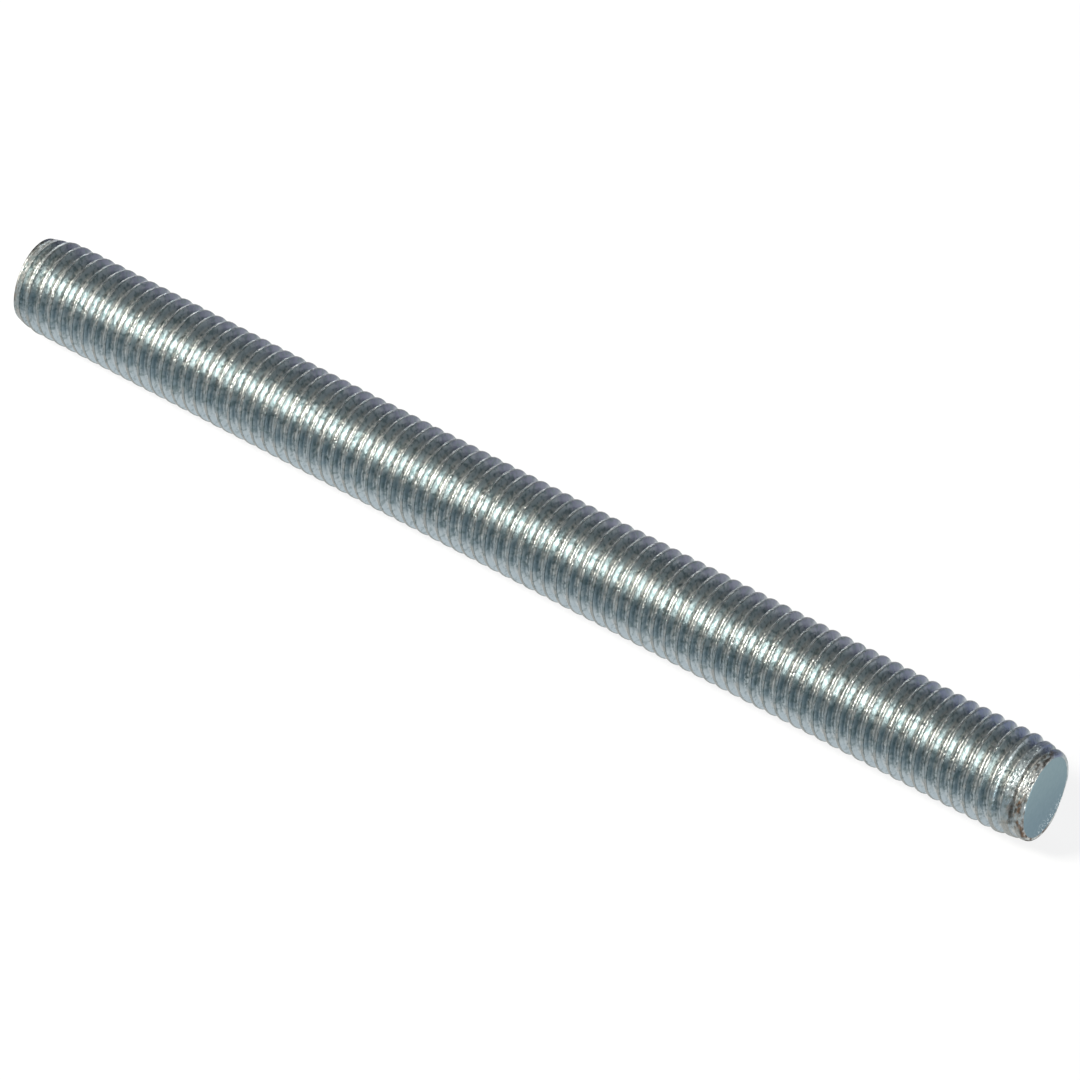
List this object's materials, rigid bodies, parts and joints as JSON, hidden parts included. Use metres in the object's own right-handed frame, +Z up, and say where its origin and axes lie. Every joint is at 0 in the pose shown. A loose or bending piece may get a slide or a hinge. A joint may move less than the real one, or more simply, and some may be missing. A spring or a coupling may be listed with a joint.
{
  "type": "threaded rod",
  "caption": "Straight zinc-plated steel rod with a right-hand screw thread over its whole length, drawn in toward each flat end.",
  "frame": {"origin": "centre of the rod's length, on the surface that it lies on, straight below its axis", "axes": "+X along the rod's axis, +Z up, away from the surface that it lies on"},
  "size_m": [0.15, 0.012, 0.012],
  "materials": {
    "zinc_plated_steel": "bright blue-white zinc plating over a rolled thread"
  },
  "bodies": {
    "root": {"threaded_rod": "zinc_plated_steel"}
  },
  "joints": []
}
